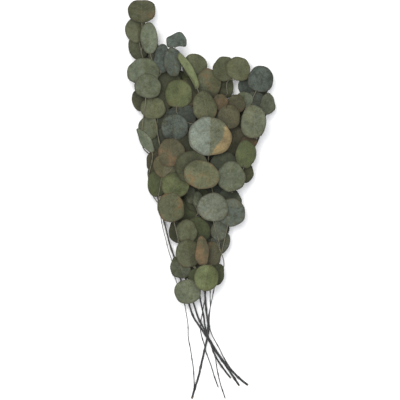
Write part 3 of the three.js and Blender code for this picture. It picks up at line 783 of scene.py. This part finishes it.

# %% [markdown]
# ## Blade colour
# Layers, from the leaf outward: the body colour with slow light and dark clouds, a tan
# scorch that grows from the rim of some leaves, the pale waxy bloom worn away in patches,
# veins, freckles, and the darker rim. The underside is paler and greyer. Last come painted
# light and shade: each leaf is scaled lighter or darker by its tone and painted light, and
# painted shade darkens it where other leaves lie over it.

# %% Leaf surface group
def make_leaf_surface():
    tree, given, result = new_group(
        "dried_leaf",
        [("Body", "NodeSocketColor", linear(96, 97, 70)),
         ("Bloom", "NodeSocketColor", linear(118, 126, 112)),
         ("Scorch", "NodeSocketColor", linear(122, 92, 58)),
         ("Bloom Amount", "NodeSocketFloat", 0.5),
         ("Scorch Amount", "NodeSocketFloat", 0.3),
         ("Shade", "NodeSocketFloat", 0.3)],
        [("Colour", "NodeSocketColor"), ("Roughness", "NodeSocketFloat"),
         ("Height", "NodeSocketFloat")])
    look = node(tree, "ShaderNodeAttribute", attribute_name="look")
    own = node(tree, "ShaderNodeSeparateXYZ")
    link(tree, look.outputs["Vector"], own.inputs[0])
    # The first value is random tone plus painted light, the third is painted shade from the
    # leaves above.
    tint, dryness, painted_shade_mask = own.outputs
    shape = node(tree, "ShaderNodeAttribute", attribute_name="shape")
    shape_parts = node(tree, "ShaderNodeSeparateXYZ")
    link(tree, shape.outputs["Vector"], shape_parts.inputs[0])
    underside = smooth_step(tree, shape_parts.outputs["Z"], -0.2, 0.2, 1.0, 0.0)
    halves = node(tree, "ShaderNodeAttribute", attribute_name="halves")
    half = node(tree, "ShaderNodeSeparateXYZ")
    link(tree, halves.outputs["Vector"], half.inputs[0])
    burnt_half = half.outputs["Z"]
    lines = node(tree, "ShaderNodeGroup", node_tree=veins)
    lines.inputs["Side Veins"].default_value = 9.0
    place = node(tree, "ShaderNodeTexCoord").outputs["Object"]

    slow = cloud(tree, place, 55.0, 3.0)
    fine = cloud(tree, place, 260.0, 4.0, 0.7)
    grain = cloud(tree, place, 900.0, 2.0, 0.6)
    light = maths(tree, "MULTIPLY_ADD", slow, 1.7, 0.15)
    light = maths(tree, "MULTIPLY", light, maths(tree, "MULTIPLY_ADD", fine, 1.5, 0.25))
    light = maths(tree, "MULTIPLY", light, maths(tree, "MULTIPLY_ADD", grain, 0.5, 0.75))
    grey = node(tree, "ShaderNodeCombineColor")
    for socket in grey.inputs:
        link(tree, light, socket)
    drift = maths(tree, "MULTIPLY", dryness, smooth_step(tree, slow, 0.38, 0.62, 0.25, 0.75))
    plain = blend(tree, drift, given.outputs["Body"], linear(92, 86, 56))
    body = blend(tree, 1.0, plain, grey.outputs[0], "MULTIPLY")

    rim_cloud = maths(tree, "MULTIPLY_ADD", lines.outputs["Rim"], 0.12, slow)
    dry = maths(tree, "MULTIPLY_ADD", dryness, 0.30, rim_cloud)
    edge = maths(tree, "MULTIPLY_ADD", given.outputs["Scorch Amount"], -0.62, 1.02)
    burnt_side = maths(tree, "MULTIPLY", shape_parts.outputs["Y"],
                       maths(tree, "SIGN", burnt_half))
    burnt_side = maths(tree, "MULTIPLY_ADD", shape_parts.outputs["X"], -0.9, burnt_side)
    half_scorch = maths(tree, "MULTIPLY", maths(tree, "ABSOLUTE", burnt_half),
                        smooth_step(tree, burnt_side, -0.15, 0.45))
    dry = maths(tree, "ADD", dry, half_scorch)
    scorch = smooth_step(tree, maths(tree, "SUBTRACT", dry, edge), -0.05, 0.14)
    scorched = blend(tree, 1.0, given.outputs["Scorch"], grey.outputs[0], "MULTIPLY")
    colour = blend(tree, scorch, body, scorched)

    worn = cloud(tree, place, 120.0, 5.0, 0.7)
    # The bloom spreads a little further on leaves with more painted light.
    bloom = smooth_step(tree, maths(tree, "MULTIPLY_ADD", tint, 0.12, worn), 0.46, 0.64)
    bloom = maths(tree, "MULTIPLY", bloom, given.outputs["Bloom Amount"])
    # Per-half paleness from the halves attribute: partly worn bloom, partly painted light on one
    # half.
    edge_of_half = maths(tree, "MULTIPLY_ADD", fine, 0.3, shape_parts.outputs["Y"])
    left = smooth_step(tree, edge_of_half, 0.06, 0.26, 1.0, 0.0)
    right = maths(tree, "SUBTRACT", 1.0, left)
    half_bloom_and_light = maths(tree, "MULTIPLY_ADD", half.outputs["X"], left,
                    maths(tree, "MULTIPLY", half.outputs["Y"], right))
    bloom = maths(tree, "ADD", bloom, half_bloom_and_light, 0.0, True)
    bloom = maths(tree, "MULTIPLY", bloom, smooth_step(tree, fine, 0.3, 0.65, 0.55, 1.0))
    bloom = maths(tree, "MULTIPLY", bloom, maths(tree, "MULTIPLY_ADD", scorch, -0.7, 1.0))
    bloom = maths(tree, "MAXIMUM", bloom, maths(tree, "MULTIPLY", underside, 0.38))
    dusty = blend(tree, 0.55, given.outputs["Bloom"], blend(
        tree, 1.0, given.outputs["Bloom"], grey.outputs[0], "MULTIPLY"))
    colour = blend(tree, bloom, colour, dusty)

    vein = maths(tree, "MULTIPLY", lines.outputs["Veins"], 0.36)
    vein = maths(tree, "MAXIMUM", vein, maths(tree, "MULTIPLY", lines.outputs["Midrib"], 0.5))
    pale = blend(tree, 0.5, given.outputs["Bloom"], linear(142, 138, 104))
    colour = blend(tree, vein, colour, pale)

    dots = node(tree, "ShaderNodeTexVoronoi", feature="F1")
    link(tree, place, dots.inputs["Vector"])
    dots.inputs["Scale"].default_value = 330.0
    freckle = smooth_step(tree, dots.outputs["Distance"], 0.14, 0.32, 1.0, 0.0)
    freckle = maths(tree, "MULTIPLY", freckle, smooth_step(tree, fine, 0.48, 0.62, 0.0, 0.7))
    colour = blend(tree, freckle, colour, linear(58, 46, 34))
    rim = maths(tree, "MULTIPLY", lines.outputs["Rim"], 0.5)
    colour = blend(tree, rim, colour, linear(70, 62, 44))
    # Each leaf's random tone and painted light scale its colour.
    tone_and_painted_light = maths(tree, "MULTIPLY_ADD", tint, 0.66, 0.12)
    tone_and_light_grey = node(tree, "ShaderNodeCombineColor")
    for socket in tone_and_light_grey.inputs:
        link(tree, tone_and_painted_light, socket)
    colour = blend(tree, 1.0, colour, tone_and_light_grey.outputs[0], "MULTIPLY")
    # Painted shade: where other leaves lie over the blade, its colour goes toward a near-black
    # green.
    painted_shade_amount = maths(tree, "MULTIPLY", smooth_step(tree, painted_shade_mask, 0.0, 0.9),
                 given.outputs["Shade"])
    colour = blend(tree, painted_shade_amount, colour, linear(26, 28, 23))

    rough = maths(tree, "MULTIPLY_ADD", bloom, 0.16, 0.66)
    rough = maths(tree, "MULTIPLY_ADD", fine, 0.14, rough, True)
    raised = maths(tree, "MULTIPLY_ADD", lines.outputs["Veins"], 0.5, fine)
    raised = maths(tree, "MULTIPLY_ADD", lines.outputs["Midrib"], 0.9, raised)
    raised = maths(tree, "MULTIPLY_ADD", freckle, -0.4, raised)
    link(tree, colour, result.inputs["Colour"])
    link(tree, rough, result.inputs["Roughness"])
    link(tree, raised, result.inputs["Height"])
    return tree


leaf_surface_group = make_leaf_surface()
print("made group", leaf_surface_group.name)


# %% [markdown]
# ## Leaf colours
# One bunch holds leaves of several colours, from olive to blue-grey, and a few browned ones.
# All of them use the group above, so a colour is only a handful of settings.

# %% One material for each leaf colour
LEAF_GLOSS = 0.28


def leaf_material(name, body, bloom, scorch, bloom_amount, scorch_amount, shade):
    colours = {"Body": body, "Bloom": bloom, "Scorch": scorch}
    amounts = {"Bloom Amount": bloom_amount, "Scorch Amount": scorch_amount, "Shade": shade}
    paint, surface, shader = finished_material(
        name, leaf_surface_group, colours, amounts, LEAF_GLOSS, 0.8, 0.0005)
    link(paint.node_tree, surface.outputs["Roughness"], shader.inputs["Roughness"])
    return paint


# The last setting is how strong the painted shade under covering leaves is.
leaf_paints = {
    "olive": leaf_material("olive_leaf", (80, 83, 52), (106, 110, 86), (112, 88, 58),
                           0.55, 0.24, 0.6),
    "grey_green": leaf_material("grey_green_leaf", (82, 90, 64), (116, 123, 104),
                                (106, 90, 60), 0.60, 0.18, 0.6),
    "blue_grey": leaf_material("blue_grey_leaf", (58, 67, 58), (108, 120, 112),
                               (90, 80, 58), 0.60, 0.08, 0.6),
    "green": leaf_material("green_leaf", (78, 88, 48), (104, 112, 78), (104, 92, 54),
                           0.50, 0.18, 0.6),
    "tan": leaf_material("tan_leaf", (86, 82, 55), (108, 107, 84), (112, 90, 63),
                         0.40, 0.50, 0.6),
    "pale": leaf_material("pale_leaf", (92, 96, 70), (128, 137, 126), (136, 116, 76),
                          0.50, 0.15, 0.6),
}
for piece in leaf_pieces:
    piece.data.materials.append(leaf_paints[piece["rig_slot"]])
print(len(leaf_paints), "leaf materials")

# %% [markdown]
# ## Bark
# The stems are thin dark twigs: brown-grey bark in long streaks with paler flakes. The
# stalks are the same wood but younger, so they are greener and lighter toward the leaf.
# The stored shape runs from 0 at one end to 1 at the other and says which is which.

# %% Bark group and its two materials
def make_bark():
    tree, given, result = new_group(
        "bark",
        [("Old", "NodeSocketColor", linear(62, 56, 52)),
         ("Young", "NodeSocketColor", linear(96, 92, 72))],
        [("Colour", "NodeSocketColor"), ("Height", "NodeSocketFloat")])
    shape = node(tree, "ShaderNodeAttribute", attribute_name="shape")
    split = node(tree, "ShaderNodeSeparateXYZ")
    link(tree, shape.outputs["Vector"], split.inputs[0])
    place = node(tree, "ShaderNodeTexCoord").outputs["Object"]
    streaks = cloud(tree, place, 500.0, 4.0, 0.65, (1.0, 0.08, 1.0))
    flakes = cloud(tree, place, 700.0, 2.0)
    youth = maths(tree, "POWER", split.outputs["X"], 1.6)
    youth = maths(tree, "MAXIMUM", youth, split.outputs["Z"])
    colour = blend(tree, youth, given.outputs["Old"], given.outputs["Young"])
    colour = blend(tree, smooth_step(tree, streaks, 0.42, 0.66, 0.0, 0.75), colour,
                   linear(84, 82, 80))
    colour = blend(tree, smooth_step(tree, flakes, 0.58, 0.70, 0.0, 0.6), colour,
                   linear(26, 24, 25))
    cut = smooth_step(tree, split.outputs["X"], 0.0, 0.004, 1.0, 0.0)
    cut = maths(tree, "MULTIPLY", cut, maths(tree, "SUBTRACT", 1.0, split.outputs["Z"]))
    colour = blend(tree, cut, colour, linear(150, 134, 108))
    link(tree, colour, result.inputs["Colour"])
    link(tree, maths(tree, "MULTIPLY_ADD", flakes, 0.5, streaks), result.inputs["Height"])
    return tree


bark_group = make_bark()


BARK_GLOSS = 0.3
BARK_ROUGHNESS = 0.72


def bark_material(name, old, young):
    paint, _, shader = finished_material(
        name, bark_group, {"Old": old, "Young": young}, {}, BARK_GLOSS, 0.6, 0.0003)
    shader.inputs["Roughness"].default_value = BARK_ROUGHNESS
    return paint


stem_paint = bark_material("stem_bark", (30, 31, 34), (112, 113, 100))
stalk_paint = bark_material("stalk_bark", (74, 68, 56), (104, 100, 78))
for piece in stem_pieces:
    piece.data.materials.append(stem_paint)
for piece in stalk_pieces:
    piece.data.materials.append(stalk_paint)

# %% [markdown]
# ## Finishing
# The finished leaves and stems stand in the places of the exact model they replace, and the
# scene is brought up to date before it is closed.

# %% Finish
bpy.context.view_layer.update()
